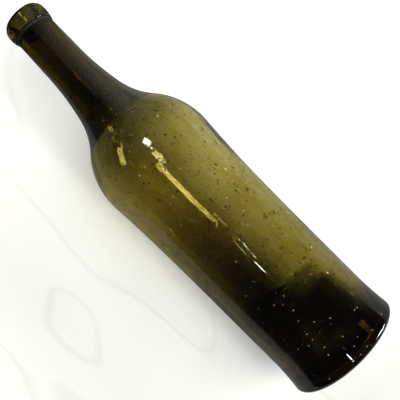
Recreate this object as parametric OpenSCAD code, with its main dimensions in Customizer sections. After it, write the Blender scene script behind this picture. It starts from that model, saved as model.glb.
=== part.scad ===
// Antique wine bottle, blown in a dip mould and finished by hand. It stands upright:
// +Z runs from the worn ring under the foot to the rim, and the axis of the blown
// form is the Z axis. Every piece is glass, turned round that axis:
//   bottle_body  the gather: foot, kick-up, body, shoulder and neck in one wall
//   lip_collar   the band of hot glass laid round the neck just below the rim
//   pontil_scar  the ring of glass that the pontil rod left under the kick-up
// Each outline runs as tangent arcs. The inside of the shoulder's round keeps the
// outside's centre, so it follows it at the thickness of the wall; towards the waist
// and round the root of the neck the glass is thicker.

/* [Overall] */
// Height from the worn ring to the rim
total_h = 298; // [285:1:320]

/* [Body] */
// Radius at the waist, just above the foot
waist_r = 38.2; // [35:0.1:44]
// Steady widening from the waist to the shoulder
body_taper = 0.3; // [0:0.1:2]
// Swelling just under the shoulder, where the glass left the mould
shoulder_swell = 2; // [0.5:0.1:3]
// Distance from the rim down to where the body turns into the shoulder
shoulder_drop = 131; // [124:0.5:144]
// Thickness of the wall at the shoulder
body_wall = 1.9; // [1.7:0.1:3]
// Thickness of the wall at the waist, where more of the glass has sunk
waist_wall = 3.8; // [3:0.1:5]

/* [Shoulder and neck] */
// Radius of the shoulder's round, seen from the side
shoulder_round = 49.6; // [42:0.1:56]
// Radius of the hollow where the shoulder runs into the neck
neck_root_round = 48; // [40:0.1:54]
// Radius of the long sweep from that hollow up the neck
neck_sweep_round = 182; // [150:1:220]
// Angle of the wall to the axis where the hollow becomes the sweep
neck_sweep_angle = 12; // [9:0.5:15]
// Radius of the neck at the top of the sweep
neck_foot_r = 14; // [13.5:0.1:16]
// Radius of the neck where the collar sits
neck_r = 13.5; // [12.6:0.1:14]
// Radius of the bore that takes the cork
bore_r = 9.2; // [8.5:0.05:10.2]
// Length of the straight bore below the rim
bore_l = 58; // [52:1:66]
// Radius of the fire-polished edges of the rim
rim_round = 1.4; // [0.8:0.1:2]

/* [Collar] */
// Height of the collar
collar_h = 10.4; // [8:0.1:13]
// Bare neck left between the collar and the rounded rim
collar_drop = 0.3; // [0.1:0.1:2]
// How far the collar stands out from the neck at its widest
collar_proud = 1.6; // [1.2:0.05:3]
// How much narrower its lower edge is than its widest place
collar_tuck = 0.9; // [0.3:0.05:1.1]
// Height of its rounded upper edge
collar_top_round = 5; // [2:0.1:6]
// How far its lower face is hollowed back up to the neck
collar_undercut = 0.9; // [0:0.1:1.5]
// Width of the flat left on top of the collar
collar_land = 0.35; // [0.2:0.05:0.6]

/* [Foot] */
// How far the foot flares out past the waist
foot_flare = 1.6; // [0:0.1:3]
// Height over which that flare dies out
foot_flare_h = 25; // [14:1:34]
// Width of the round that runs under the foot
heel_w = 10.5; // [9:0.5:13]
// Height of that round
heel_h = 5; // [3.5:0.5:8]
// Width of the flat ring worn on the foot
ring_w = 2; // [1:0.5:3]
// Thickness of the glass below the trough round the kick-up
foot_wall = 6; // [4:0.5:8]

/* [Kick-up] */
// Height of the kick-up's crown, measured inside the bottle
kick_h = 55; // [44:0.5:62]
// Thickness of the kick-up's glass
kick_wall = 6.8; // [5:0.1:8]
// Radius of its blunt crown
crown_round = 35; // [30:1:50]
// Radius of the turn from the crown into its side
knuckle_round = 9.5; // [8.5:0.5:12]
// Angle of its side to the resting plane
kick_slope = 80; // [76:1:84]
// Radius of the edge between the worn ring and the kick-up
kick_edge_round = 2.8; // [1.5:0.1:4]

/* [Pontil scar] */
// Radius of the ring of glass, to the middle of its bead
pontil_r = 9; // [6:0.5:12]
// Half the thickness of its bead
pontil_bead = 1.7; // [1:0.1:2.5]
// How deep the bead is sunk back into the kick-up's face
pontil_sink = 0.5; // [0.2:0.1:0.8]

/* [Hidden] */

turn_fn = 96; // segments of one turn round the axis
arc_steps = 9; // straight steps in one arc of an outline
body_steps = 16; // straight steps up the body
flare_steps = 6; // straight steps up the foot's flare
swell_power = 5; // the higher, the closer the swelling keeps to the shoulder
wall_power = 1.5; // the higher, the closer the thicker glass keeps to the waist
shared_gap = 0.001; // points closer than this are one point

olive = "#5a5a1e";
amber = "#6b5f1c";
dark_olive = "#3a3c14";

foot_r = waist_r + foot_flare;
waist_z = heel_h + foot_flare_h;
shoulder_z = total_h - shoulder_drop;
shoulder_r = waist_r + body_taper + shoulder_swell;

// angle of the wall to the axis where the body meets the shoulder's round
body_lean = atan((body_taper + swell_power * shoulder_swell) / (shoulder_z - waist_z));
shoulder_c = [
    shoulder_r - shoulder_round * cos(body_lean),
    shoulder_z + shoulder_round * sin(body_lean)
];

// steepest angle of the shoulder, at which its round and the hollow meet tangent
shoulder_slope = acos(
    (neck_foot_r - shoulder_c.x + neck_root_round * cos(neck_sweep_angle)
        + neck_sweep_round * (1 - cos(neck_sweep_angle)))
    / (shoulder_round + neck_root_round)
);
root_c = shoulder_c + (shoulder_round + neck_root_round) * ray(shoulder_slope);
sweep_c = root_c + (neck_sweep_round - neck_root_round) * ray(neck_sweep_angle);

bore_z = total_h - bore_l;
collar_top_z = total_h - rim_round - collar_drop;
collar_z = collar_top_z - collar_h;
collar_r = neck_r + collar_proud;

// the worn ring, and where the kick-up's side would cross the resting plane
ring_out_r = foot_r - heel_w;
ring_in_r = ring_out_r - ring_w;
side_out = ray(90 - kick_slope); // square to the kick-up's side, towards the body
kick_mouth_r = ring_in_r - kick_edge_round * tan(kick_slope / 2);

// centre of the crown, and of the knuckle tangent to the crown and to the side
crown_c = [0, kick_h - crown_round];
knuckle_start = [kick_mouth_r, 0] + (kick_wall - knuckle_round) * side_out;
side_up = [-cos(kick_slope), sin(kick_slope)];
to_start = knuckle_start - crown_c;
climb_b = to_start * side_up;
climb_q = to_start * to_start - pow(crown_round - knuckle_round, 2);
knuckle_c = knuckle_start + (sqrt(climb_b * climb_b - climb_q) - climb_b) * side_up;
crown_turn = atan2(knuckle_c.x, knuckle_c.y - crown_c.y);

// one round leads the inside from the shoulder into the bore, tangent to both
shoulder_in_round = shoulder_round - body_wall;
to_bore = [bore_r, bore_z] - shoulder_c;
bore_turn_round = (to_bore * to_bore - pow(shoulder_in_round, 2))
    / (2 * (shoulder_in_round - to_bore.x));
bore_turn_slope = atan2(to_bore.y, to_bore.x + bore_turn_round);

// the trough between the kick-up and the body is round and touches both
inside_r = waist_r - waist_wall;
trough_side = [kick_mouth_r, 0] + kick_wall * side_out;
trough_round = ([inside_r, foot_wall] - trough_side) * side_out
    / (1 + side_out.x - side_out.y);
trough_c = [inside_r - trough_round, foot_wall + trough_round];

// a step of one unit at this angle to the r axis
function ray(a) = [cos(a), sin(a)];

// points on an oval round a centre, from one angle to another
function oval(centre, rx, ry, from, to) = [
    for (i = [0 : arc_steps])
        let (a = from + (to - from) * i / arc_steps)
            centre + [rx * cos(a), ry * sin(a)]
];
function arc(centre, r, from, to) = oval(centre, r, r, from, to);

// the outline without the points that one arc shares with the next
function joined(points) = [
    for (i = [0 : len(points) - 1])
        if (i == 0 || norm(points[i] - points[i - 1]) > shared_gap) points[i]
];

function backwards(points) = [for (i = [len(points) - 1 : -1 : 0]) points[i]];

// radius of the outside, from 0 at the waist to 1 at the shoulder
function body_r(up) = waist_r + body_taper * up + shoulder_swell * pow(up, swell_power);

// radius of the outside between the heel's round and the waist
function flare_r(z) = waist_r + foot_flare * pow(1 - (z - heel_h) / foot_flare_h, 2);

// the body from the waist up and its shoulder as far as a slope, set in by the thickness
// of a wall and by what that wall gains towards the waist
function side_outline(inset, gain, slope) = concat(
    [
        for (i = [0 : body_steps - 1])
            let (up = i / body_steps)
                [
                    body_r(up) - inset - gain * pow(1 - up, wall_power),
                    waist_z + (shoulder_z - waist_z) * up
                ]
    ],
    arc(shoulder_c, shoulder_round - inset, -body_lean, slope)
);

// the kick-up from its crown down its side, set in by the thickness of its wall
function kick_outline(inset) = concat(
    arc(crown_c, crown_round - inset, 90, 90 - crown_turn),
    arc(knuckle_c, knuckle_round - inset, 90 - crown_turn, 90 - kick_slope)
);

// the rim, from the neck's outside over its rounded edges into the bore
rim_outline = concat(
    arc([neck_r - rim_round, total_h - rim_round], rim_round, 0, 90),
    arc([bore_r + rim_round, total_h - rim_round], rim_round, 90, 180)
);

outside = concat(
    oval([ring_out_r, heel_h], heel_w, heel_h, -90, 0),
    [
        for (i = [1 : flare_steps - 1])
            let (z = heel_h + foot_flare_h * i / flare_steps)
                [flare_r(z), z]
    ],
    side_outline(0, 0, shoulder_slope),
    arc(root_c, neck_root_round, 180 + shoulder_slope, 180 + neck_sweep_angle),
    arc(sweep_c, neck_sweep_round, 180 + neck_sweep_angle, 180),
    [[neck_r, collar_z]]
);

inside = concat(
    kick_outline(0),
    arc(trough_c, trough_round, -90 - kick_slope, 0),
    side_outline(body_wall, waist_wall - body_wall, bore_turn_slope),
    arc([bore_r + bore_turn_round, bore_z], bore_turn_round, 180 + bore_turn_slope, 180)
);

underside = concat(
    kick_outline(kick_wall),
    arc(
        [ring_in_r, kick_edge_round], kick_edge_round,
        270 - kick_slope, 270
    )
);

// half of the bottle's wall, cut through the axis
module bottle_section() {
    polygon(joined(concat(outside, rim_outline, backwards(inside), underside)));
}

module bottle_body() {
    color(olive)
        rotate_extrude($fn = turn_fn)
            bottle_section();
}

module lip_collar() {
    belly_z = collar_top_z - collar_top_round;
    tuck_h = belly_z - collar_z;
    // the round that falls back by the tuck over the height below the belly
    tuck_round = (tuck_h * tuck_h + collar_tuck * collar_tuck) / (2 * collar_tuck);
    tuck_angle = asin(tuck_h / tuck_round);
    shelf_r = neck_r + collar_land;
    color(amber)
        rotate_extrude($fn = turn_fn)
            polygon(joined(concat(
                [[neck_r, collar_z + collar_undercut]],
                arc([collar_r - tuck_round, belly_z], tuck_round, -tuck_angle, 0),
                oval([shelf_r, belly_z], collar_r - shelf_r, collar_top_round, 0, 90),
                [[neck_r, collar_top_z]]
            )));
}

module pontil_scar() {
    // the underside of the crown at the ring's radius
    face_z = crown_c.y + sqrt(pow(crown_round - kick_wall, 2) - pontil_r * pontil_r);
    color(dark_olive)
        rotate_extrude($fn = turn_fn)
            difference() {
                translate([pontil_r, face_z + pontil_sink - pontil_bead])
                    circle(r = pontil_bead, $fn = 32);
                bottle_section();
            }
}

bottle_body();
lip_collar();
pontil_scar();
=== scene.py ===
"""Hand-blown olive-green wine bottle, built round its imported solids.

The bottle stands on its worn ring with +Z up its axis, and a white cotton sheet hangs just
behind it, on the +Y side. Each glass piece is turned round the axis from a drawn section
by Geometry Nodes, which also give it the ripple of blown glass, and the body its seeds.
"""

import math

import bpy
from bpy.props import FloatProperty, FloatVectorProperty, IntProperty, PointerProperty
from mathutils import Matrix, Vector


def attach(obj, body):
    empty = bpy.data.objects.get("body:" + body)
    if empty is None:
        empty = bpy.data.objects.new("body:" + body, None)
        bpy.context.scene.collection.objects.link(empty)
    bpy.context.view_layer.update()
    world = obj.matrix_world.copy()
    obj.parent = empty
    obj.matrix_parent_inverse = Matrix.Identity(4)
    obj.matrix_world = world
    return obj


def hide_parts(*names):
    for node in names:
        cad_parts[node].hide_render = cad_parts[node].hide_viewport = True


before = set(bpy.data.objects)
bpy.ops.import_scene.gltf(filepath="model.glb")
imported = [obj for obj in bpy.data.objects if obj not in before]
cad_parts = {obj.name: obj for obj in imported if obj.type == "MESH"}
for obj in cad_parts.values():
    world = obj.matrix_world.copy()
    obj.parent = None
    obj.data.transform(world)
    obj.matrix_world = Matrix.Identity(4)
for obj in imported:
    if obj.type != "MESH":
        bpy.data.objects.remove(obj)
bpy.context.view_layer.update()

bl_info = {
    "name": "Hand-blown wine bottle",
    "version": (1, 0, 0),
    "blender": (4, 5, 0),
    "location": "View3D > Sidebar > Bottle",
    "description": "Turns a hand-blown bottle with a tooled collar and a kick-up",
    "category": "Add Mesh",
}

MM = 0.001

# spacing of the points along an outline, finer where it turns more tightly
LONG_STEP = 1.0 * MM
ROUND_STEP = 0.6 * MM
EDGE_STEP = 0.4 * MM
BEAD_STEP = 0.3 * MM
RIM_STEP = 0.25 * MM
# straight and nearly straight stretches are cut into so many parts
BODY_PARTS = 66
FLARE_PARTS = 20
NECK_PARTS = 8
BORE_PARTS = 20
LIP_PARTS = 4
BACK_PARTS = 24

SAME_POINT = 0.02 * MM  # points of an outline that are closer than this are one
WELD = 0.002 * MM  # so are points of a mesh
SWELL_POWER = 5  # the body swells close under the shoulder
WALL_POWER = 1.5  # its wall thins quickly above the waist
BOW_EASE = 1.23  # puts the most of the bow a little above the middle
ROOM_NEEDED = 0.9  # seeds stay where the wall has more room than this
SPOT_EDGE = 0.35  # share of a spot's reach in which it fades out

GLASS_DEPTH = 5 * MM  # the depth of glass that each colour of glass is given for
LEAST_LIGHT = 1e-4  # a colour channel lets at least so much through

# colours of what lies in the glass and on it, and of the shade, shadow and glints painted on it
ASH = "#19160a"
# darkens the kick-up
KICK_UP_DARK = "#2c2719"
# darkens the glass up the neck
NECK_DARKENING = "#7c7661"
# painted shade on the lower -X side and the foot
PAINTED_SIDE_SHADE = "#9e9581"
# painted shade on the low back half and the foot
PAINTED_LOW_SHADE = "#595245"
# painted shadow under the collar's lip
LIP_SHADOW = "#0a0a07"
# this and the next: pale dust, partly painted glints
DUST_AND_GLINTS = "#bcaf7c"
DUST_DASHES_AND_GLINTS = "#cebf7c"
WEAR = 0.4  # roughness of the worn ring
KICK_UP_ROUGHNESS = 0.3  # what the kick-up's darkening adds to the roughness

SHEET_REACH = 0.7  # from the middle of the sheet to each edge
SHEET_GAP = 0.3 * MM  # between the bottle's back and the sheet
CAMERA_PLACE = (0, -0.3855, 0.13423)
CAMERA_TILT = math.radians(45.65)
WINDOW_AWAY = 3.0  # how far off the windows are from WINDOW_AIM
WINDOW_AIM = Vector((0, 0, 0.16))
# windows and panes: place and size in degrees right of and above the view, radiance, spin
# in degrees, and which rays it is hidden from besides the camera's and the diffuse ones
WINDOWS = (
    ("window_high", (10, 28.5), (9, 11.5), 24, 16, ()),
    ("window_low", (6.5, 6), (10, 15), 44, 0, ("glossy",)),
    ("window_right", (65, -46), (11, 30), 25, 0, ("glossy",)),
    ("pane_top", (7, 17), (2.5, 3.5), 20, 0, ()),
    ("pane_near", (4, -7.6), (1.2, 0.9), 30, 0, ()),
    ("pane_middle", (2, -8.7), (1.0, 0.7), 26, 0, ()),
    ("pane_foot", (76, -32), (26, 20), 30, 0, ("transmission",)),
    ("pane_low", (-5, -10.4), (1.7, 1.7), 40, 0, ()),
)


def linear(hex_code):
    """The linear colour of an sRGB hex value."""
    srgb = [int(hex_code[i : i + 2], 16) / 255 for i in (1, 3, 5)]
    return [c / 12.92 if c <= 0.04045 else ((c + 0.055) / 1.055) ** 2.4 for c in srgb]


def length(name, description, millimetres):
    """A size that a user can change."""
    return FloatProperty(
        name=name,
        description=description,
        default=millimetres * MM,
        unit="LENGTH",
        subtype="DISTANCE",
        precision=5,
    )


def angle(name, description, degrees):
    """An angle that a user can change."""
    return FloatProperty(
        name=name,
        description=description,
        default=math.radians(degrees),
        unit="ROTATION",
        subtype="ANGLE",
    )


def colour(name, description, hex_code):
    """A colour that a user can change."""
    return FloatVectorProperty(
        name=name,
        description=description,
        default=linear(hex_code),
        subtype="COLOR",
        size=3,
        min=0,
        max=1,
    )


# ---------------------------------------------------------------- sizes and colours


class BottleSizes(bpy.types.PropertyGroup):
    """Sizes of the blown bottle, its collar and its pontil scar."""

    height: length("Height", "From the worn ring to the rim", 298)
    waist_radius: length("Waist radius", "Radius just above the foot", 38.2)
    body_taper: length("Taper", "Steady widening from waist to shoulder", 0.3)
    shoulder_swell: length("Swell", "Swelling just under the shoulder", 2)
    shoulder_drop: length("Shoulder drop", "From the rim down to the shoulder", 131)
    shoulder_wall: length("Shoulder wall", "Thickness of the glass at the shoulder", 1.9)
    waist_wall: length("Waist wall", "Thickness of the glass at the waist", 3.8)
    shoulder_round: length("Shoulder round", "Radius of the shoulder's round", 49.6)
    root_round: length("Root round", "Radius of the hollow under the neck", 48)
    sweep_round: length("Neck sweep", "Radius of the long sweep up the neck", 182)
    sweep_angle: angle("Sweep angle", "Angle of the wall where the hollow becomes the sweep", 12)
    neck_foot_radius: length("Neck foot radius", "Neck at the top of the sweep", 14)
    neck_radius: length("Neck radius", "Neck where the collar sits", 13.5)
    bore_radius: length("Bore radius", "Bore that takes the cork", 9.2)
    bore_length: length("Bore length", "Straight bore below the rim", 58)
    rim_round: length("Rim round", "Fire-polished edges of the rim", 1.4)
    foot_flare: length("Foot flare", "How far the foot flares past the waist", 1.6)
    flare_height: length("Flare height", "Height over which the flare dies out", 25)
    heel_width: length("Heel width", "Width of the round under the foot", 10.5)
    heel_height: length("Heel height", "Height of that round", 5)
    ring_width: length("Worn ring", "Width of the flat ring worn on the foot", 2)
    foot_wall: length("Foot glass", "Glass below the trough round the kick-up", 6)
    kick_height: length("Kick-up height", "Height of its crown inside", 55)
    kick_wall: length("Kick-up glass", "Thickness of the kick-up's glass", 6.8)
    crown_round: length("Crown round", "Radius of the kick-up's blunt crown", 35)
    knuckle_round: length("Knuckle round", "Turn from the crown into the side", 9.5)
    kick_slope: angle("Kick-up slope", "Angle of its side to the resting plane", 80)
    kick_edge: length("Kick-up edge", "Edge between worn ring and kick-up", 2.8)
    collar_height: length("Collar height", "Height of the tooled collar", 10.4)
    collar_drop: length("Collar drop", "Bare neck between collar and rim", 0.3)
    collar_proud: length("Collar stand-out", "How far the collar stands out", 1.6)
    collar_tuck: length("Collar tuck", "How much its lower edge draws in", 0.9)
    collar_top: length("Collar top round", "Height of its rounded upper edge", 5)
    collar_undercut: length("Collar undercut", "Hollow under its lower edge", 0.9)
    collar_land: length("Collar land", "Flat left on top of the collar", 0.35)
    pontil_radius: length("Scar radius", "Radius of the pontil scar", 9)
    pontil_bead: length("Scar bead", "Half the thickness of its bead", 1.7)
    pontil_sink: length("Scar sink", "How deep the bead is sunk in", 0.5)
    bow: length("Bow", "How far the axis bends sideways at the shoulder", 1.6)
    seam_gap: length("Seam", "Gap between the separate glass pieces", 0.04)
    segments: IntProperty(
        name="Segments",
        description="Segments of one turn round the axis",
        default=160,
        min=24,
    )


class GlassColours(bpy.types.PropertyGroup):
    """Colours of the glass and of the sheet."""

    body: colour("Blown glass", "What 5 mm of the body's glass lets through", "#ada356")
    collar: colour("Collar glass", "What 5 mm of the collar's glass lets through", "#62561f")
    scar: colour("Scar glass", "What 5 mm of the scar's glass lets through", "#4f4a18")
    streak_pale: colour("Pale streaks", "Clearer streaks in the gather", "#ffffff")
    streak_dark: colour("Dark streaks", "Deeper streaks in the gather", "#efe8cc")
    sheet: colour("Sheet", "White cotton sheet behind the bottle", "#f3f4ed")


# ---------------------------------------------------------------- sections


def ray(turn):
    """A unit step in the section's plane, at an angle to the radius."""
    return Vector((math.cos(turn), math.sin(turn)))


def oval(centre, rx, ry, start, end, step=LONG_STEP):
    """Points on an oval round centre, about a step apart."""
    count = max(3, math.ceil(abs(end - start) * max(rx, ry) / step))
    points = []
    for i in range(count + 1):
        turn = start + (end - start) * i / count
        points.append(Vector((centre.x + rx * math.cos(turn), centre.y + ry * math.sin(turn))))
    return points


def arc(centre, radius, start, end, step=LONG_STEP):
    """Points on an arc round centre, about a step apart."""
    return oval(centre, radius, radius, start, end, step)


class Section:
    """The bottle's section: its sizes give the centres that the outlines turn about."""

    def __init__(self, s):
        self.s = s
        self.waist_z = s.heel_height + s.flare_height
        self.shoulder_z = s.height - s.shoulder_drop
        rise = self.shoulder_z - self.waist_z
        self.lean = math.atan((s.body_taper + SWELL_POWER * s.shoulder_swell) / rise)
        shoulder_r = s.waist_radius + s.body_taper + s.shoulder_swell
        self.shoulder_c = Vector((shoulder_r, self.shoulder_z)) - s.shoulder_round * ray(-self.lean)
        sweep = s.sweep_angle
        reach = s.neck_foot_radius - self.shoulder_c.x + s.root_round * math.cos(sweep)
        reach += s.sweep_round * (1 - math.cos(sweep))
        self.slope = math.acos(reach / (s.shoulder_round + s.root_round))
        self.root_c = self.shoulder_c + (s.shoulder_round + s.root_round) * ray(self.slope)
        self.sweep_c = self.root_c + (s.sweep_round - s.root_round) * ray(sweep)
        self.bore_z = s.height - s.bore_length
        inside = s.shoulder_round - s.shoulder_wall
        to_bore = Vector((s.bore_radius, self.bore_z)) - self.shoulder_c
        self.bore_turn = (to_bore.length_squared - inside**2) / (2 * (inside - to_bore.x))
        self.bore_slope = math.atan2(to_bore.y, to_bore.x + self.bore_turn)
        self.ring_out = s.waist_radius + s.foot_flare - s.heel_width
        self.ring_in = self.ring_out - s.ring_width
        self.collar_top_z = s.height - s.rim_round - s.collar_drop
        self.collar_z = self.collar_top_z - s.collar_height
        self.kick_up()

    def kick_up(self):
        """Centres of the crown, of the knuckle and of the trough round the kick-up."""
        s = self.s
        out = ray(math.pi / 2 - s.kick_slope)
        mouth = Vector((self.ring_in - s.kick_edge * math.tan(s.kick_slope / 2), 0))
        self.crown_c = Vector((0, s.kick_height - s.crown_round))
        start = mouth + (s.kick_wall - s.knuckle_round) * out
        up = Vector((-math.cos(s.kick_slope), math.sin(s.kick_slope)))
        away = start - self.crown_c
        along = away.dot(up)
        past = away.length_squared - (s.crown_round - s.knuckle_round) ** 2
        self.knuckle_c = start + (math.sqrt(along * along - past) - along) * up
        knee = self.knuckle_c - self.crown_c
        self.crown_turn = math.atan2(knee.x, knee.y)
        inside = s.waist_radius - s.waist_wall
        side = mouth + s.kick_wall * out
        self.trough = (Vector((inside, s.foot_wall)) - side).dot(out) / (1 + out.x - out.y)
        self.trough_c = Vector((inside - self.trough, s.foot_wall + self.trough))

    def body_side(self, inset, gain, slope):
        """The body, and the shoulder as far as a slope, set in by a wall."""
        s = self.s
        points = []
        for i in range(BODY_PARTS):
            up = i / BODY_PARTS
            r = s.waist_radius + s.body_taper * up + s.shoulder_swell * up**SWELL_POWER
            z = self.waist_z + (self.shoulder_z - self.waist_z) * up
            points.append(Vector((r - inset - gain * (1 - up) ** WALL_POWER, z)))
        return points + arc(self.shoulder_c, s.shoulder_round - inset, -self.lean, slope)

    def kick_side(self, inset):
        """The kick-up from its crown to the foot of its side, set in by its glass."""
        s, quarter = self.s, math.pi / 2
        turn, foot = quarter - self.crown_turn, quarter - s.kick_slope
        crown = arc(self.crown_c, s.crown_round - inset, quarter, turn)
        return crown + arc(self.knuckle_c, s.knuckle_round - inset, turn, foot, ROUND_STEP)

    def bottle(self):
        """(points, share of the ripple, seed room): from the underside's pole round to the
        inside's."""
        s, pi = self.s, math.pi
        under = self.kick_side(s.kick_wall)
        edge_c = Vector((self.ring_in, s.kick_edge))
        under += arc(edge_c, s.kick_edge, 1.5 * pi - s.kick_slope, 1.5 * pi, EDGE_STEP)
        heel_c = Vector((self.ring_out, s.heel_height))
        heel = oval(heel_c, s.heel_width, s.heel_height, -pi / 2, 0, ROUND_STEP)
        flare = []
        for i in range(1, FLARE_PARTS):
            z = s.heel_height + s.flare_height * i / FLARE_PARTS
            flare.append(Vector((s.waist_radius + s.foot_flare * (1 - i / FLARE_PARTS) ** 2, z)))
        side = self.body_side(0, 0, self.slope)
        side += arc(self.root_c, s.root_round, pi + self.slope, pi + s.sweep_angle)
        side += arc(self.sweep_c, s.sweep_round, pi + s.sweep_angle, pi)
        top = s.height - s.rim_round
        for i in range(NECK_PARTS):
            z = self.collar_z + (top - self.collar_z) * i / NECK_PARTS
            side.append(Vector((s.neck_radius, z)))
        outer_c = Vector((s.neck_radius - s.rim_round, top))
        inner_c = Vector((s.bore_radius + s.rim_round, top))
        rim = arc(outer_c, s.rim_round, 0, pi / 2, RIM_STEP)
        rim += arc(inner_c, s.rim_round, pi / 2, pi, RIM_STEP)
        bore = []
        for i in range(1, BORE_PARTS):
            z = top - (top - self.bore_z) * i / BORE_PARTS
            bore.append(Vector((s.bore_radius, z)))
        parts = [(under, 0.3, 0), (heel, 0.15, 0), (flare, 0.8, 0.6), (side, 1, 1), (rim, 0.2, 0)]
        parts += [(bore, 0.2, 0), (self.inside()[::-1], 2, 0)]
        return joined(parts)

    def inside(self):
        """The inside, from the crown of the kick-up to the foot of the bore."""
        s, pi = self.s, math.pi
        inside = self.kick_side(0)
        inside += arc(self.trough_c, self.trough, -pi / 2 - s.kick_slope, 0, EDGE_STEP)
        inside += self.body_side(s.shoulder_wall, s.waist_wall - s.shoulder_wall, self.bore_slope)
        turn_c = Vector((s.bore_radius + self.bore_turn, self.bore_z))
        return inside + arc(turn_c, self.bore_turn, pi + self.bore_slope, pi)

    def collar(self):
        """The collar's outline, from the inner edge of its lip round to the neck again."""
        s = self.s
        belly = self.collar_top_z - s.collar_top
        fall = belly - self.collar_z
        tuck = (fall * fall + s.collar_tuck**2) / (2 * s.collar_tuck)
        seat = s.neck_radius + s.seam_gap
        wide = s.neck_radius + s.collar_proud
        shelf = seat + s.collar_land
        outer = arc(Vector((wide - tuck, belly)), tuck, -math.asin(fall / tuck), 0, EDGE_STEP)
        top_c = Vector((shelf, belly))
        outer += oval(top_c, wide - shelf, s.collar_top, 0, math.pi / 2, EDGE_STEP)
        foot = Vector((seat, self.collar_z + s.collar_undercut))
        top = Vector((seat, self.collar_top_z))
        lip = [foot + (outer[0] - foot) * i / LIP_PARTS for i in range(LIP_PARTS)]
        back = [top + (foot - top) * i / BACK_PARTS for i in range(BACK_PARTS + 1)]
        return joined([(lip, 0.6, 0), (outer, 1, 0), (back, 0, 0)])

    def scar(self):
        """A bead whose upper side is pressed to the kick-up's underside."""
        s = self.s
        reach = s.crown_round - s.kick_wall
        face = self.crown_c.y + math.sqrt(reach * reach - s.pontil_radius**2)
        centre = Vector((s.pontil_radius, face + s.pontil_sink - s.pontil_bead))
        ring = arc(centre, s.pontil_bead, -math.pi, math.pi, BEAD_STEP)
        limit = reach - s.seam_gap
        pressed = []
        for p in ring:
            out = p - self.crown_c
            pressed.append(self.crown_c + out * min(1, limit / out.length))
        outline = joined([(pressed, 1, 0)])
        outline[-1] = outline[0]
        return outline


def joined(parts):
    """Runs parts of an outline into one, without the points that two of them share."""
    points = []
    for part, wave, room in parts:
        for p in part:
            if not points or (p - points[-1][0]).length > SAME_POINT:
                points.append((p, wave, room))
    return points


def drawn(name, outline):
    """The outline as a mesh in the XZ plane, with its ripple and seed room at each point."""
    mesh = bpy.data.meshes.new(name)
    points, waves, rooms = zip(*outline)
    edges = [(i, i + 1) for i in range(len(points) - 1)]
    mesh.from_pydata([(p.x, 0, p.y) for p in points], edges, [])
    for label, values in (("wave", waves), ("seed_room", rooms)):
        attribute = mesh.attributes.new(label, "FLOAT", "POINT")
        attribute.data.foreach_set("value", values)
    piece = bpy.data.objects.new(name, mesh)
    bpy.context.scene.collection.objects.link(piece)
    return piece


# ---------------------------------------------------------------- node trees


def put(tree, kind, inputs=None, **settings):
    """Adds a node with its settings. An input is a value, the socket that feeds it, or the
    node whose first output does."""
    node = tree.nodes.new(kind)
    for key, value in settings.items():
        setattr(node, key, value)
    for key, value in (inputs or {}).items():
        if isinstance(value, bpy.types.Node):
            value = value.outputs[0]
        if isinstance(value, bpy.types.NodeSocket):
            tree.links.new(value, node.inputs[key])
        else:
            node.inputs[key].default_value = value
    return node


def new_geometry_tree(name, inputs):
    """A tree that takes a geometry and these inputs, with what it is given and its result."""
    tree = bpy.data.node_groups.new(name, "GeometryNodeTree")
    tree.interface.new_socket("Geometry", in_out="INPUT", socket_type="NodeSocketGeometry")
    for label, kind in inputs.items():
        tree.interface.new_socket(label, in_out="INPUT", socket_type="NodeSocket" + kind)
    tree.interface.new_socket("Geometry", in_out="OUTPUT", socket_type="NodeSocketGeometry")
    return tree, put(tree, "NodeGroupInput").outputs, put(tree, "NodeGroupOutput")


def end_tree(tree, result, geometry, glass):
    """Ends a tree in plain geometry that has its material."""
    real = put(tree, "GeometryNodeRealizeInstances", {"Geometry": geometry})
    painted = put(tree, "GeometryNodeSetMaterial", {"Geometry": real, "Material": glass})
    tree.links.new(painted.outputs[0], result.inputs[0])
    return tree


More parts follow.
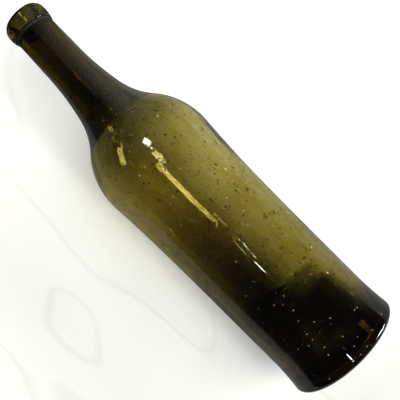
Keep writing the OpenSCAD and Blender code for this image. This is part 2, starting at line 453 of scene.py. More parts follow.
def turning_tree():
    """Turns a drawn section round Z, ripples it, bows it sideways and shades it smooth."""
    inputs = {
        "Segments": "Int",
        "Points": "Int",
        "Ripple": "Float",
        "Ripple Scale": "Float",
        "Bow": "Float",
        "Height": "Float",
        "Glass": "Material",
    }
    tree, given, result = new_geometry_tree("Turned glass", inputs)
    here = put(tree, "GeometryNodeInputPosition")
    shell = {"Geometry": swept_grid(tree, given, here), "Distance": WELD}
    closed = put(tree, "GeometryNodeMergeByDistance", shell)

    # ripple: the glass stretches up the bottle, so its waves are longer along Z
    stretch = {0: here, 1: (1.0, 1.0, 0.45)}
    stretch = put(tree, "ShaderNodeVectorMath", stretch, operation="MULTIPLY")
    noise = {"Vector": stretch, "Scale": given["Ripple Scale"], "Detail": 1.0}
    noise = put(tree, "ShaderNodeTexNoise", noise)
    height = put(tree, "ShaderNodeMath", {0: noise, 1: 0.5}, operation="SUBTRACT")
    wave = put(tree, "GeometryNodeInputNamedAttribute", {"Name": "wave"}, data_type="FLOAT")
    for factor in (wave, given["Ripple"]):
        height = put(tree, "ShaderNodeMath", {0: height, 1: factor}, operation="MULTIPLY")
    normal = put(tree, "GeometryNodeInputNormal")
    shift = put(tree, "ShaderNodeVectorMath", {0: normal, "Scale": height}, operation="SCALE")
    rippled = put(tree, "GeometryNodeSetPosition", {"Geometry": closed, "Offset": shift})

    # bow towards -X: none at the foot and the rim, and most a little above the middle
    level = put(tree, "ShaderNodeSeparateXYZ", {0: here}).outputs["Z"]
    share = {0: level, 1: given["Height"]}
    share = put(tree, "ShaderNodeMath", share, operation="DIVIDE", use_clamp=True)
    eased = put(tree, "ShaderNodeMath", {0: share, 1: BOW_EASE}, operation="POWER")
    half = put(tree, "ShaderNodeMath", {0: eased, 1: math.pi}, operation="MULTIPLY")
    away = put(tree, "ShaderNodeMath", {0: half}, operation="SINE")
    for factor in (given["Bow"], -1.0):
        away = put(tree, "ShaderNodeMath", {0: away, 1: factor}, operation="MULTIPLY")
    bend = put(tree, "ShaderNodeCombineXYZ", {"X": away})
    bowed = put(tree, "GeometryNodeSetPosition", {"Geometry": rippled, "Offset": bend})
    smooth = put(tree, "GeometryNodeSetShadeSmooth", {"Geometry": bowed})
    return end_tree(tree, result, smooth, given["Glass"])


def swept_grid(tree, given, here):
    """A grid with each row of points on one point of the section, turned round Z; it keeps
    what the section says about its ripple and its seeds."""
    section = given["Geometry"]
    across = put(tree, "ShaderNodeMath", {0: given["Segments"], 1: 1.0}, operation="ADD")
    grid = put(tree, "GeometryNodeMeshGrid", {"Vertices X": across, "Vertices Y": given["Points"]})
    place = put(tree, "ShaderNodeSeparateXYZ", {0: grid.outputs["UV Map"]}).outputs
    turn = put(tree, "ShaderNodeMath", {0: place["X"], 1: 2 * math.pi}, operation="MULTIPLY")
    last = put(tree, "ShaderNodeMath", {0: given["Points"], 1: 1.0}, operation="SUBTRACT")
    along = put(tree, "ShaderNodeMath", {0: place["Y"], 1: last}, operation="MULTIPLY")
    index = put(tree, "ShaderNodeMath", {0: along}, operation="ROUND")
    drawn_at = {"Geometry": section, "Value": here, "Index": index}
    drawn_at = put(tree, "GeometryNodeSampleIndex", drawn_at, data_type="FLOAT_VECTOR")
    turned_to = {"Vector": drawn_at, "Angle": turn}
    turned_to = put(tree, "ShaderNodeVectorRotate", turned_to, rotation_type="Z_AXIS")
    shell = put(tree, "GeometryNodeSetPosition", {"Geometry": grid, "Position": turned_to})
    for label in ("wave", "seed_room"):
        asked = put(tree, "GeometryNodeInputNamedAttribute", {"Name": label}, data_type="FLOAT")
        sampled = {"Geometry": section, "Value": asked, "Index": index}
        sampled = put(tree, "GeometryNodeSampleIndex", sampled, data_type="FLOAT")
        shell = {"Geometry": shell, "Name": label, "Value": sampled}
        shell = put(tree, "GeometryNodeStoreNamedAttribute", shell, data_type="FLOAT")
    return shell


def seeds_tree():
    """Scatters seeds, the gas bubbles of old glass, as closed hollows inside the wall."""
    inputs = {
        "Density": "Float",
        "Smallest": "Float",
        "Largest": "Float",
        "Thickest": "Float",
        "Stretch": "Float",
        "Depth": "Float",
        "Seed": "Int",
        "Glass": "Material",
    }
    tree, given, result = new_geometry_tree("Seeds in the wall", inputs)
    room = put(tree, "GeometryNodeInputNamedAttribute", {"Name": "seed_room"}, data_type="FLOAT")
    allowed = put(tree, "ShaderNodeMath", {0: room, 1: ROOM_NEEDED}, operation="GREATER_THAN")
    points = put(
        tree,
        "GeometryNodeDistributePointsOnFaces",
        {
            "Mesh": given["Geometry"],
            "Selection": allowed,
            "Density": given["Density"],
            "Seed": given["Seed"],
        },
        distribute_method="RANDOM",
    )
    normal = points.outputs["Normal"]
    inwards = put(tree, "ShaderNodeMath", {0: given["Depth"], 1: -1.0}, operation="MULTIPLY")
    spread = {"Min": 0.85, "Max": 1.1, "Seed": given["Seed"]}
    depth = put(tree, "FunctionNodeRandomValue", spread, data_type="FLOAT").outputs[1]
    deep = put(tree, "ShaderNodeMath", {0: inwards, 1: depth}, operation="MULTIPLY")
    shift = put(tree, "ShaderNodeVectorMath", {0: normal, "Scale": deep}, operation="SCALE")
    sunk = put(tree, "GeometryNodeSetPosition", {"Geometry": points, "Offset": shift})

    # most seeds are small, because the square of a chance is seldom large
    spread = {"Min": 0.0, "Max": 1.0, "Seed": given["Seed"]}
    chance = put(tree, "FunctionNodeRandomValue", spread, data_type="FLOAT").outputs[1]
    rare = put(tree, "ShaderNodeMath", {0: chance, 1: 2.0}, operation="POWER")
    radius = {"Value": rare, "To Min": given["Smallest"], "To Max": given["Largest"]}
    radius = put(tree, "ShaderNodeMapRange", radius)
    tall = put(tree, "ShaderNodeMath", {0: radius, 1: given["Stretch"]}, operation="MULTIPLY")
    thick = put(tree, "ShaderNodeMath", {0: radius, 1: given["Thickest"]}, operation="MINIMUM")
    size = put(tree, "ShaderNodeCombineXYZ", {"X": thick, "Y": radius, "Z": tall})

    # the blowing flattens a seed along the wall: its X is the wall's normal, its Z stays up
    lie = {"Vector": normal}
    lie = put(tree, "FunctionNodeAlignRotationToVector", lie, axis="X", pivot_axis="Z")
    seed = put(tree, "GeometryNodeMeshIcoSphere", {"Radius": 1.0, "Subdivisions": 2})
    seeds = {"Points": sunk, "Instance": seed, "Rotation": lie, "Scale": size}
    seeds = put(tree, "GeometryNodeInstanceOnPoints", seeds)
    real = put(tree, "GeometryNodeRealizeInstances", {"Geometry": seeds})
    smooth = put(tree, "GeometryNodeSetShadeSmooth", {"Geometry": real})
    hollow = put(tree, "GeometryNodeFlipFaces", {"Mesh": smooth})
    both = put(tree, "GeometryNodeJoinGeometry")
    for part in (hollow.outputs[0], given["Geometry"]):
        tree.links.new(part, both.inputs[0])
    return end_tree(tree, result, both, given["Glass"])


def grown(piece, tree, values):
    """Runs a tree on a piece and leaves the plain mesh that it makes."""
    modifier = piece.modifiers.new(tree.name, "NODES")
    modifier.node_group = tree
    sockets = {
        item.name: item.identifier
        for item in tree.interface.items_tree
        if item.item_type == "SOCKET" and item.in_out == "INPUT"
    }
    for label, value in values.items():
        modifier[sockets[label]] = value
    bpy.context.view_layer.update()
    graph = bpy.context.evaluated_depsgraph_get()
    mesh = bpy.data.meshes.new_from_object(piece.evaluated_get(graph), depsgraph=graph)
    for index in reversed(range(len(mesh.materials))):
        if mesh.materials[index] is None:
            mesh.materials.pop(index=index)
    piece.modifiers.remove(modifier)
    old, piece.data = piece.data, mesh
    mesh.name = old.name
    bpy.data.meshes.remove(old)
    return piece


def turned(name, outline, glass, ripple, scale):
    """A piece of glass turned from its outline, with ripples of this depth and so many to
    the metre."""
    sizes = bpy.context.scene.bottle_sizes
    values = {
        "Segments": sizes.segments,
        "Points": len(outline),
        "Ripple": ripple,
        "Ripple Scale": scale,
        "Bow": sizes.bow,
        "Height": sizes.height,
        "Glass": glass,
    }
    tree = bpy.data.node_groups.get("Turned glass") or turning_tree()
    return grown(drawn(name, outline), tree, values)


# ---------------------------------------------------------------- materials


def new_material(name):
    """An empty material and its tree."""
    material = bpy.data.materials.new(name)
    material.use_nodes = True
    material.node_tree.nodes.clear()
    return material, material.node_tree


def cover(tree, *limits):
    """How far something covers a place: the product of its limits. A limit is a share, or
    a fade: what it follows, from where to where, and its value at either end, which is 0
    and 1 unless it is given."""
    whole = None
    for limit in limits:
        if isinstance(limit, tuple):
            follows, start, end, *ends = limit
            first, last = ends or (0.0, 1.0)
            fade = {0: follows, 1: start, 2: end, 3: first, 4: last}
            limit = put(tree, "ShaderNodeMapRange", fade)
        if whole is not None:
            limit = put(tree, "ShaderNodeMath", {0: whole, 1: limit}, operation="MULTIPLY")
        whole = limit
    return whole


def soaking(through):
    """The colour and density of an absorption that lets this colour through GLASS_DEPTH."""
    loss = [-math.log(max(c, LEAST_LIGHT)) / GLASS_DEPTH for c in through]
    most = max(loss) * 1.001  # just over, so that no colour channel is quite 0
    return {"Color": (*[1 - k / most for k in loss], 1), "Density": most}


class Finish:
    """The finish of a piece of glass while it is built up: what its layers cover, from 0
    to 1, by where a place lies on the bottle. Its haze and its dust are matt."""

    def __init__(self, name):
        self.material, self.tree = new_material(name)
        self.place = put(self.tree, "ShaderNodeTexCoord").outputs["Object"]
        sides = put(self.tree, "ShaderNodeSeparateXYZ", {0: self.place}).outputs
        self.across, self.back, self.level = sides["X"], sides["Y"], sides["Z"]
        # the share of the pale dust, partly painted glints, that is kept: about a third of it up
        # the neck, where most dust is wiped off
        self.specks_kept = cover(self.tree, (self.level, 190 * MM, 230 * MM, 1.0, 0.35))

    def spots(self, cell, biggest, share, start=(0, 0, 0), stretch=1.0):
        """Spots of many sizes in a share of the cells: 1 in the middle, 0 at the edge."""
        moved = {"Vector": self.place, "Location": start, "Scale": (1, 1, 1 / stretch)}
        vector = put(self.tree, "ShaderNodeMapping", moved)
        cells = put(self.tree, "ShaderNodeTexVoronoi", {"Vector": vector, "Scale": 1 / cell})
        chance = put(self.tree, "ShaderNodeSeparateColor", {0: cells.outputs["Color"]})
        widest = biggest / cell
        reach = cover(self.tree, (chance, 1 - share, 1.0, 0.0, widest))
        away = cells.outputs["Distance"]
        inside = put(self.tree, "ShaderNodeMath", {0: reach, 1: away}, operation="SUBTRACT")
        return cover(self.tree, (inside, 0.0, SPOT_EDGE * widest))

    def cords(self):
        """Streaks about 4 mm wide and 40 mm long, drawn up the bottle."""
        stretch = {"Vector": self.place, "Scale": (1, 1, 0.1)}
        drawn_out = put(self.tree, "ShaderNodeMapping", stretch)
        waves = {"Vector": drawn_out, "Scale": 1 / (4 * MM), "Detail": 3, "Roughness": 0.55}
        return put(self.tree, "ShaderNodeTexNoise", waves)

    def streaks(self, cords, pale, dark):
        """The tint of the glass itself, which changes with the cords and over 36 mm."""
        slow = {"Vector": self.place, "Scale": 1 / (35.71 * MM), "Detail": 2}
        slow = put(self.tree, "ShaderNodeTexNoise", slow)
        depth = put(self.tree, "ShaderNodeMath", {0: cords, 1: slow})
        tints = {0: cover(self.tree, (depth, 0.75, 1.25)), 6: (*pale, 1), 7: (*dark, 1)}
        return put(self.tree, "ShaderNodeMix", tints, data_type="RGBA").outputs[2]

    def ash(self):
        """Dark grains of ash in the melt, up to 1.7 mm across, and few in the tooled mouth."""
        grains = self.spots(2.381 * MM, 0.85 * MM, 0.34)
        return cover(self.tree, grains, (self.level, 180 * MM, 284 * MM, 1.0, 0.2))

    def neck_film(self, film):
        """Darkens the glass from the root of the neck up, by the given share."""
        return cover(self.tree, (self.level, 180 * MM, 216 * MM, 0.0, film))

    def lees(self):
        """Darkens the glass inside the foot's wall, in the trough and over the kick-up, a little
        less in patches about 6 mm across."""
        tree = self.tree
        flat = {0: self.place, 1: (1, 1, 0)}
        flat = put(tree, "ShaderNodeVectorMath", flat, operation="MULTIPLY")
        out = put(tree, "ShaderNodeVectorMath", {0: flat}, operation="LENGTH").outputs["Value"]
        patches = {"Vector": self.place, "Scale": 1 / (6.25 * MM), "Detail": 5}
        patches = put(tree, "ShaderNodeTexNoise", patches)
        return cover(
            tree,
            (self.level, 60 * MM, 52 * MM),
            (out, 33.4 * MM, 32.2 * MM),
            (patches, 0.3, 0.55, 0.95, 1.0),
        )

    def painted_side_shade(self):
        """Painted shade: over the lower half of the -X side, over the glass below about 50 mm but
        for its +X edge, and all round the foot.
        """
        tree = self.tree
        side_shade = cover(tree, (self.level, 150 * MM, 60 * MM), (self.across, 8 * MM, -12 * MM))
        middle = cover(tree, (self.level, 53 * MM, 48 * MM), (self.across, 30 * MM, 20 * MM))
        foot = cover(tree, (self.level, 32 * MM, 20 * MM))
        for part in (middle, foot):
            side_shade = put(tree, "ShaderNodeMath", {0: side_shade, 1: part}, operation="MAXIMUM")
        return side_shade

    def painted_low_shade(self):
        """Painted shade: below a line that slants across the back half, at about 50 mm and lower
        towards +X, away from the +X edge, and over the lowest part of the foot."""
        tree = self.tree
        tilted = {0: self.place, 1: (0.35, 0, 1)}
        tilted = put(tree, "ShaderNodeVectorMath", tilted, operation="DOT_PRODUCT")
        line = cover(
            tree,
            (tilted.outputs["Value"], 50.5 * MM, 49 * MM),
            (self.across, 32 * MM, 22 * MM),
            (self.back, 2 * MM, 6 * MM),
        )
        foot = cover(tree, (self.level, 22 * MM, 12 * MM))
        return put(tree, "ShaderNodeMath", {0: line, 1: foot}, operation="MAXIMUM")

    def painted_lip_shadow(self):
        """Painted shadow: a black band under the uneven lip of the collar, where its undercut casts
        shade.
        """
        slant = {0: self.place, 1: (0.067, 0.059, 1)}
        slant = put(self.tree, "ShaderNodeVectorMath", slant, operation="DOT_PRODUCT")
        under = slant.outputs["Value"]
        low, high = (under, 284.3 * MM, 284.36 * MM), (under, 285.7 * MM, 285.64 * MM)
        return cover(self.tree, low, high)

    def dust_and_glints(self):
        """Matt dust in grains up to 0.9 mm across, pale enough to stand in for glints: partly
        painted glints.
        """
        return cover(self.tree, self.spots(2 * MM, 0.43 * MM, 0.36, (0.9, 0.4, 0.6)), self.specks_kept)

    def dust_dashes_and_glints(self):
        """A few brighter dashes of dust that lie up the bottle, which also stand in for glints:
        partly painted glints.
        """
        marks = self.spots(2.381 * MM, 0.4 * MM, 0.12, (0.2, 0.7, 0.5), 3.0)
        return cover(self.tree, marks, self.specks_kept)

    def haze(self, film):
        """Thin matt dust on the +X side, where the light comes from, laid only there so that this
        side shows lighter, partly painted light: on the neck, and along the body's edge.
        """
        neck = cover(
            self.tree,
            (self.level, 192 * MM, 214 * MM, 0.0, 0.12 * film),
            (self.across, -2 * MM, 8 * MM),
            (self.level, 216 * MM, 280 * MM, 1.0, 0.5),
        )
        edge = cover(self.tree, (self.across, 20 * MM, 36 * MM, 0.0, 0.02))
        return put(self.tree, "ShaderNodeMath", {0: neck, 1: edge}, operation="MAXIMUM")

    def dulled(self, rough):
        """The roughness of the clean glass: glossy, and a little duller in 8 mm patches."""
        patches = {"Vector": self.place, "Scale": 1 / (8.333 * MM), "Detail": 4}
        patches = put(self.tree, "ShaderNodeTexNoise", patches)
        return cover(self.tree, (patches, 0.5, 0.75, rough, rough + 0.03))

    def tooling(self):
        """Rings about 1 mm wide that the jaws drew round the mouth."""
        ringed = {"Vector": self.place, "Scale": (0.08, 0.08, 1)}
        ringed = put(self.tree, "ShaderNodeMapping", ringed)
        rings = {"Vector": ringed, "Scale": 1 / (1.111 * MM), "Detail": 2}
        rings = put(self.tree, "ShaderNodeTexNoise", rings)
        return cover(self.tree, rings, (self.level, 283 * MM, 286 * MM))

    def uneven(self, cords, relief):
        """The surface: ripples 14 mm and 4 mm across, cords, pits up to 1 mm and rings."""
        heights = []
        for width, detail, depth in ((14.29 * MM, 1, 0.05 * MM), (3.846 * MM, 2, 0.03 * MM)):
            ripple = {"Vector": self.place, "Scale": 1 / width, "Detail": detail}
            heights.append((put(self.tree, "ShaderNodeTexNoise", ripple), depth))
        pits = self.spots(2.222 * MM, 0.5 * MM, 0.4, (0.3, 0.7, 0.2))
        heights += [(cords, 0.02 * MM), (pits, 0.1 * MM), (self.tooling(), 0.06 * MM)]
        normal = None
        for height, depth in heights:
            inputs = {"Height": height, "Strength": relief, "Distance": depth}
            if normal is not None:
                inputs["Normal"] = normal
            normal = put(self.tree, "ShaderNodeBump", inputs)
        return normal


def blown_glass(name, colours, through, rough=0.0, relief=1.0, film=0.0, crusted=False):
    """Soda-lime glass, blown and fire-polished: near-perfect gloss over slow ripples and
    drawn-out cords, grains of ash and pits that catch the light, and a colour that comes
    from its depth. Its pale dust is partly painted glints, matt haze on its lit +X side is
    partly painted light, and the glass up the neck is darkened by a share. A shaded and worn
    bottle has a darker, rougher kick-up, painted shade over its lower -X side, its low back
    and its foot, a painted shadow under its collar, and a foot that is frosted by wear."""
    finish = Finish(name)
    tree = finish.tree
    cords = finish.cords()
    tint = finish.streaks(cords, colours.streak_pale, colours.streak_dark)
    roughness = finish.dulled(rough)
    # pale dust, partly painted glints
    dust_and_glints, dust_dashes_and_glints = finish.dust_and_glints(), finish.dust_dashes_and_glints()
    # darker glass up the neck
    layers = [(finish.ash(), ASH), (finish.neck_film(film), NECK_DARKENING)]
    # matt haze on the lit +X side: dust, and partly painted light
    matt_parts = [dust_dashes_and_glints, finish.haze(film)]
    if crusted:
        lees, lip_shadow = finish.lees(), finish.painted_lip_shadow()
        worn = cover(tree, (finish.level, 1.2 * MM, 0.2 * MM, 0, WEAR))
        # the darkened kick-up is also a little rougher
        for part in (worn, cover(tree, lees, KICK_UP_ROUGHNESS)):
            roughness = put(tree, "ShaderNodeMath", {0: roughness, 1: part})
        # the painted shadow under the collar's lip is matt black and fully rough
        roughness = put(tree, "ShaderNodeMath", {0: roughness, 1: lip_shadow}, operation="MAXIMUM")
        # painted shade over the lower -X side, the foot and the low back, and the painted shadow
        # under the collar's lip
        layers += [(lees, KICK_UP_DARK), (finish.painted_side_shade(), PAINTED_SIDE_SHADE), (finish.painted_low_shade(), PAINTED_LOW_SHADE), (lip_shadow, LIP_SHADOW)]
        matt_parts.append(lip_shadow)
    layers += [(dust_and_glints, DUST_AND_GLINTS), (dust_dashes_and_glints, DUST_DASHES_AND_GLINTS)]
    for share, shade in layers:
        tints = {0: share, 6: tint, 7: (*linear(shade), 1)}
        tint = put(tree, "ShaderNodeMix", tints, data_type="RGBA").outputs[2]
    matt = dust_and_glints
    for part in matt_parts:
        matt = put(tree, "ShaderNodeMath", {0: matt, 1: part}, operation="MAXIMUM")
    clear = put(tree, "ShaderNodeMath", {0: 1.0, 1: matt}, operation="SUBTRACT")
    shader = put(
        tree,
        "ShaderNodeBsdfPrincipled",
        {
            "Base Color": tint,
            "Roughness": roughness,
            "Normal": finish.uneven(cords, relief),
            "IOR": 1.52,
            "Transmission Weight": clear,
        },
    )
    depth = put(tree, "ShaderNodeVolumeAbsorption", soaking(through))
    put(tree, "ShaderNodeOutputMaterial", {"Surface": shader, "Volume": depth})
    return finish.material


def body_glass(colours):
    """Free-blown olive glass, that looks black where it is thick, where its kick-up is darkened and
    where shade is painted on it.
    """
    name = "free_blown_olive_soda_lime_glass"
    return blown_glass(name, colours, colours.body, film=0.9, crusted=True)


def collar_glass(colours):
    """Glass from another gather, more amber, with the rings of the tool in its gloss."""
    return blown_glass("tooled_amber_soda_lime_glass", colours, colours.collar, film=0.25)


def scar_glass(colours):
    """Glass torn off and softened in the fire: deep colour, dull, and three times as rough
    to the touch as the wall."""
    name = "torn_dark_soda_lime_glass"
    return blown_glass(name, colours, colours.scar, rough=0.08, relief=3.0)


def cotton_sheet(cotton):
    """Washed white cotton: matt, with soft folds and a few creases, and painted shade that darkens
    them, the lower left and the cloth below the foot; the camera sees a painted glow that
    lightens its shade beside the bottle, and seen from behind it isn't there."""
    material, tree = new_material("woven_cotton_sheet")
    place = put(tree, "ShaderNodeTexCoord").outputs["Object"]
    sides = put(tree, "ShaderNodeSeparateXYZ", {0: place}).outputs
    across, height = sides["X"], sides["Z"]

    # painted shade: darker in soft folds 111 mm apart, and in creases along the middle of waves 62
    # mm apart
    folds = {"Vector": place, "Scale": 1 / (111.1 * MM), "Detail": 2}
    folds = put(tree, "ShaderNodeTexNoise", folds)
    drawn_out = put(tree, "ShaderNodeMapping", {"Vector": place, "Scale": (1, 1, 0.35)})
    waves = {"Vector": drawn_out, "Scale": 1 / (62.5 * MM), "Detail": 1}
    waves = put(tree, "ShaderNodeTexNoise", waves)
    ridge = put(tree, "ShaderNodeMath", {0: waves, 1: 0.5}, operation="SUBTRACT")
    ridge = put(tree, "ShaderNodeMath", {0: ridge}, operation="ABSOLUTE")
    shade = cover(
        tree,
        (folds, 0.3, 0.7, 0.95, 1.0),
        (ridge, 0.0, 0.02, 0.92, 1.0),
        # painted shade: darker towards the lower left and below the bottle's foot
        (across, -50 * MM, -150 * MM, 1.0, 0.94),
        (height, -5 * MM, -50 * MM, 1.0, 0.84),
    )

    # the glass mirrors the sheet dimly, and least of all at the mouth
    path = put(tree, "ShaderNodeLightPath").outputs
    rays = {0: path["Is Glossy Ray"], 1: path["Is Transmission Ray"]}
    mirrored = put(tree, "ShaderNodeMath", rays, operation="SUBTRACT", use_clamp=True)
    image = cover(tree, (height, 292 * MM, 304 * MM, 0.3, 0.07))
    dimmed = cover(tree, (mirrored, 0.0, 1.0, shade, image))
    tone = {0: 1.0, 6: (*cotton, 1), 7: dimmed}
    tone = put(tree, "ShaderNodeMix", tone, data_type="RGBA", blend_type="MULTIPLY").outputs[2]
    relief = put(tree, "ShaderNodeBump", {"Height": folds, "Strength": 0.3, "Distance": 4 * MM})
    cloth = put(tree, "ShaderNodeBsdfDiffuse", {"Color": tone, "Normal": relief})

    # how far the camera sees it lightened: most at the right, least close to the body
    lifted = 0.0
    for fade in (
        (across, -130 * MM, -60 * MM, 0.18, 0.42),
        (across, -56 * MM, -46 * MM, 0, -0.14),
        (across, -20 * MM, 20 * MM, 0, 0.22),
    ):
        lifted = put(tree, "ShaderNodeMath", {0: lifted, 1: cover(tree, fade)})
    shown = cover(tree, lifted, (height, -30 * MM, 60 * MM, 0.35, 1.0), path["Is Camera Ray"])
    white = put(tree, "ShaderNodeEmission", {"Color": tone, "Strength": shown})
    lit = put(tree, "ShaderNodeAddShader", {0: cloth, 1: white})
    behind = put(tree, "ShaderNodeNewGeometry").outputs["Backfacing"]
    nothing = put(tree, "ShaderNodeBsdfTransparent")
    mixed = put(tree, "ShaderNodeMixShader", {0: behind, 1: lit, 2: nothing})
    put(tree, "ShaderNodeOutputMaterial", {"Surface": mixed})
    return material


def black_felt():
    """Black wool felt: so matt that only its nap, about 1 mm, is a little paler."""
    material, tree = new_material("black_felt_card")
    place = put(tree, "ShaderNodeTexCoord").outputs["Object"]
    nap = {"Vector": place, "Scale": 1 / (1.111 * MM), "Detail": 2}
    nap = put(tree, "ShaderNodeTexNoise", nap)
    black = cover(tree, (nap, 0.0, 1.0, 0.0, 0.01))
    felt = put(tree, "ShaderNodeBsdfDiffuse", {"Color": black})
    put(tree, "ShaderNodeOutputMaterial", {"Surface": felt})
    return material


# ---------------------------------------------------------------- operators


class BOTTLE_OT_stage(bpy.types.Operator):
    """Hangs the white sheet behind the bottle and sets the camera, lamps and room light"""

    bl_idname = "bottle.stage"
    bl_label = "Sheet, camera and light"

    def execute(self, context):
        scene = context.scene
        scene.view_settings.view_transform = "Standard"
        self.hang_sheet(scene)
        self.set_camera(scene)
        self.light_room(scene)
        for window in WINDOWS:
            self.light_window(scene, *window)
        self.shade_neck(scene)
        return {"FINISHED"}

    def hang(self, scene, name, material, sides, depth, levels):
        """Hangs a flat thing of the stage upright, facing the camera."""
        (left, right), (low, high) = sides, levels
        mesh = bpy.data.meshes.new(name)
        corners = ((left, low), (right, low), (right, high), (left, high))
        mesh.from_pydata([(x, depth, z) for x, z in corners], [], [(0, 1, 2, 3)])
        mesh.materials.append(material)
        hung = bpy.data.objects.new(name, mesh)
        scene.collection.objects.link(hung)
        return hung

    def hang_sheet(self, scene):
        """The sheet just clears the bottle's back and fills the view."""
        sizes = scene.bottle_sizes
        back = sizes.waist_radius + sizes.body_taper + sizes.shoulder_swell + SHEET_GAP
        reach = (-SHEET_REACH, SHEET_REACH)
        cotton = cotton_sheet(scene.glass_colours.sheet)
        sheet = self.hang(scene, "sheet", cotton, reach, back, reach)

    def shade_neck(self, scene):
        """A black card that keeps the window's reflection off the neck, and is seen by
        nothing else."""
        sides, depth, levels = (-40 * MM, 70 * MM), -135 * MM, (262 * MM, 380 * MM)
        card = self.hang(scene, "card", black_felt(), sides, depth, levels)
        card.visible_camera = card.visible_diffuse = False
        card.visible_transmission = card.visible_shadow = False

    def set_camera(self, scene):
        """Looks square on the sheet, turned so that the mouth is at the upper left."""
        data = bpy.data.cameras.new("camera")
        data.sensor_width = 36
        data.lens = 54
        data.clip_start = 0.01
        camera = bpy.data.objects.new("camera", data)
        scene.collection.objects.link(camera)
        right = Vector((math.sin(CAMERA_TILT), 0, -math.cos(CAMERA_TILT)))
        up = Vector((math.cos(CAMERA_TILT), 0, math.sin(CAMERA_TILT)))
        back = Vector((0, -1, 0))
        turn = Matrix((right, up, back)).transposed().to_4x4()
        camera.matrix_world = Matrix.Translation(CAMERA_PLACE) @ turn
        scene.camera = camera

    def light_room(self, scene):
        """Soft light that is strongest from the right; what is seen past the sheet is
        white, and what the glass mirrors is a dim room."""
        world = bpy.data.worlds.new("room")
        scene.world = world
        world.use_nodes = True
        tree = world.node_tree
        tree.nodes.clear()
        towards = put(tree, "ShaderNodeTexCoord").outputs["Generated"]

        def glow(direction, strength, focus):
            """Light from one side, which falls off to nothing at a right angle to it."""
            axes = {0: towards, 1: Vector(direction).normalized()}
            facing = put(tree, "ShaderNodeVectorMath", axes, operation="DOT_PRODUCT")
            front = {0: facing.outputs["Value"], 1: 0.0}
            front = put(tree, "ShaderNodeMath", front, operation="MAXIMUM")
            narrow = put(tree, "ShaderNodeMath", {0: front, 1: focus}, operation="POWER")
            return put(tree, "ShaderNodeMath", {0: narrow, 1: strength}, operation="MULTIPLY")

        front = glow((0.5, -1, -0.3), strength=3.1, focus=4)
        side = glow((1, -0.3, -0.3), strength=6.5, focus=12)
        lighting = put(tree, "ShaderNodeMath", {0: front, 1: side})
        dim_wall = glow((0, 1, 0), strength=0.6, focus=1)
        mirrored = put(tree, "ShaderNodeMath", {0: dim_wall, 1: 0.03})
        pale_wall = glow((0, 1, 0), strength=0.9, focus=0.6)
        seen_through = put(tree, "ShaderNodeMath", {0: pale_wall, 1: 0.12})

        path = put(tree, "ShaderNodeLightPath").outputs
        seen = mirrored
        for ray_kind, brightness in (("Is Transmission Ray", seen_through), ("Is Camera Ray", 1.0)):
            levels = {0: path[ray_kind], 2: seen, 3: brightness}
            seen = put(tree, "ShaderNodeMix", levels, data_type="FLOAT")

        # a ray that has met nothing matt sees the room; one that has is lit by it
        chain = path["Is Camera Ray"]
        for ray_kind in ("Is Glossy Ray", "Is Transmission Ray"):
            chain = put(tree, "ShaderNodeMath", {0: chain, 1: path[ray_kind]})
        first = {0: path["Diffuse Depth"], 1: 0.5}
        first = put(tree, "ShaderNodeMath", first, operation="LESS_THAN")
        rays = {0: chain, 1: first}
        direct = put(tree, "ShaderNodeMath", rays, operation="MULTIPLY", use_clamp=True)
        level = put(tree, "ShaderNodeMix", {0: direct, 2: lighting, 3: seen}, data_type="FLOAT")
        sky = put(tree, "ShaderNodeBackground", {"Color": (1, 1, 1, 1), "Strength": level})
        put(tree, "ShaderNodeOutputWorld", {"Surface": sky})

    def light_window(self, scene, name, place, size, radiance, spin, hidden_from):
        """A window or one of its panes, which only shows as its reflection in the glass."""
        right, high = (math.radians(a) for a in place)
        data = bpy.data.lights.new(name, "AREA")
        data.shape = "RECTANGLE"
        data.size, data.size_y = (2 * WINDOW_AWAY * math.tan(math.radians(a) / 2) for a in size)
        data.energy = radiance * math.pi * data.size * data.size_y
        lamp = bpy.data.objects.new(name, data)
        scene.collection.objects.link(lamp)
        level = math.cos(high)
        towards = Vector((math.sin(right) * level, -math.cos(right) * level, math.sin(high)))
        turn = towards.to_track_quat("Z", "Y").to_matrix().to_4x4()
        turn = turn @ Matrix.Rotation(math.radians(spin), 4, "Z")
        lamp.matrix_world = Matrix.Translation(WINDOW_AIM + WINDOW_AWAY * towards) @ turn
        for rays in ("camera", "diffuse", *hidden_from):
            setattr(lamp, "visible_" + rays, False)


class BOTTLE_OT_body(bpy.types.Operator):
    """Blows the bottle: foot, kick-up, body, shoulder and neck in one wall with seeds"""

    bl_idname = "bottle.body"
    bl_label = "Blown bottle"

    def execute(self, context):
        outline = Section(context.scene.bottle_sizes).bottle()
        glass = body_glass(context.scene.glass_colours)
        bottle = turned("blown_bottle", outline, glass, ripple=0.35 * MM, scale=38)
        values = {
            "Density": 8000,
            "Smallest": 0.2 * MM,
            "Largest": 0.9 * MM,
            "Thickest": 0.4 * MM,
            "Stretch": 1.8,
            "Depth": 0.7 * MM,
            "Seed": 7,
            "Glass": glass,
        }
        bottle = grown(bottle, seeds_tree(), values)
        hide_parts("bottle_body")
        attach(bottle, "root")
        return {"FINISHED"}


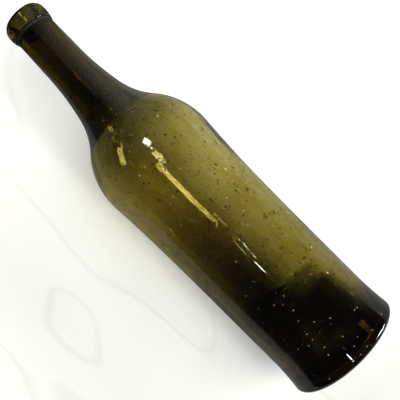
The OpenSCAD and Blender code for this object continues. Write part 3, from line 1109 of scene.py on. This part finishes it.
class BOTTLE_OT_collar(bpy.types.Operator):
    """Lays the band of hot glass round the neck, tooled with an uneven lower edge"""

    bl_idname = "bottle.collar"
    bl_label = "Tooled collar"

    def execute(self, context):
        section = Section(context.scene.bottle_sizes)
        glass = collar_glass(context.scene.glass_colours)
        collar = turned("tooled_collar", section.collar(), glass, ripple=0.2 * MM, scale=120)
        self.sag(collar.data, section.collar_top_z, context.scene.bottle_sizes.collar_height)
        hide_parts("lip_collar")
        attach(collar, "root")
        return {"FINISHED"}

    def sag(self, mesh, top, fall):
        """Lowers the collar's lip on its +X and +Y sides, and raises it on the others."""
        sag_x, sag_y = 0.9 * MM, 0.8 * MM
        for vertex in mesh.vertices:
            place = vertex.co
            around = math.atan2(place.y, place.x)
            share = max(0.0, min(1.0, (top - place.z) / fall))
            place.z -= share**2 * (sag_x * math.cos(around) + sag_y * math.sin(around))


class BOTTLE_OT_scar(bpy.types.Operator):
    """Leaves the rough ring of glass that the pontil rod tore off under the kick-up"""

    bl_idname = "bottle.scar"
    bl_label = "Pontil scar"

    def execute(self, context):
        outline = Section(context.scene.bottle_sizes).scar()
        glass = scar_glass(context.scene.glass_colours)
        scar = turned("pontil_scar_ring", outline, glass, ripple=0.5 * MM, scale=260)
        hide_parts("pontil_scar")
        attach(scar, "root")
        return {"FINISHED"}


class BOTTLE_PT_panel(bpy.types.Panel):
    """Sizes, colours and pieces of the bottle"""

    bl_idname = "BOTTLE_PT_panel"
    bl_label = "Hand-blown bottle"
    bl_space_type = "VIEW_3D"
    bl_region_type = "UI"
    bl_category = "Bottle"

    def draw(self, context):
        column = self.layout.column()
        for operator in OPERATORS:
            column.operator(operator.bl_idname)
        for group in (context.scene.bottle_sizes, context.scene.glass_colours):
            for key in group.__annotations__:
                column.prop(group, key)


OPERATORS = (BOTTLE_OT_stage, BOTTLE_OT_body, BOTTLE_OT_collar, BOTTLE_OT_scar)
CLASSES = (BottleSizes, GlassColours, *OPERATORS, BOTTLE_PT_panel)


def register():
    for each in CLASSES:
        bpy.utils.register_class(each)
    bpy.types.Scene.bottle_sizes = PointerProperty(type=BottleSizes)
    bpy.types.Scene.glass_colours = PointerProperty(type=GlassColours)


def unregister():
    del bpy.types.Scene.glass_colours
    del bpy.types.Scene.bottle_sizes
    for each in reversed(CLASSES):
        bpy.utils.unregister_class(each)


def main():
    register()
    bpy.ops.bottle.stage()
    bpy.ops.bottle.body()
    bpy.ops.bottle.collar()
    bpy.ops.bottle.scar()


if __name__ == "__main__":
    main()
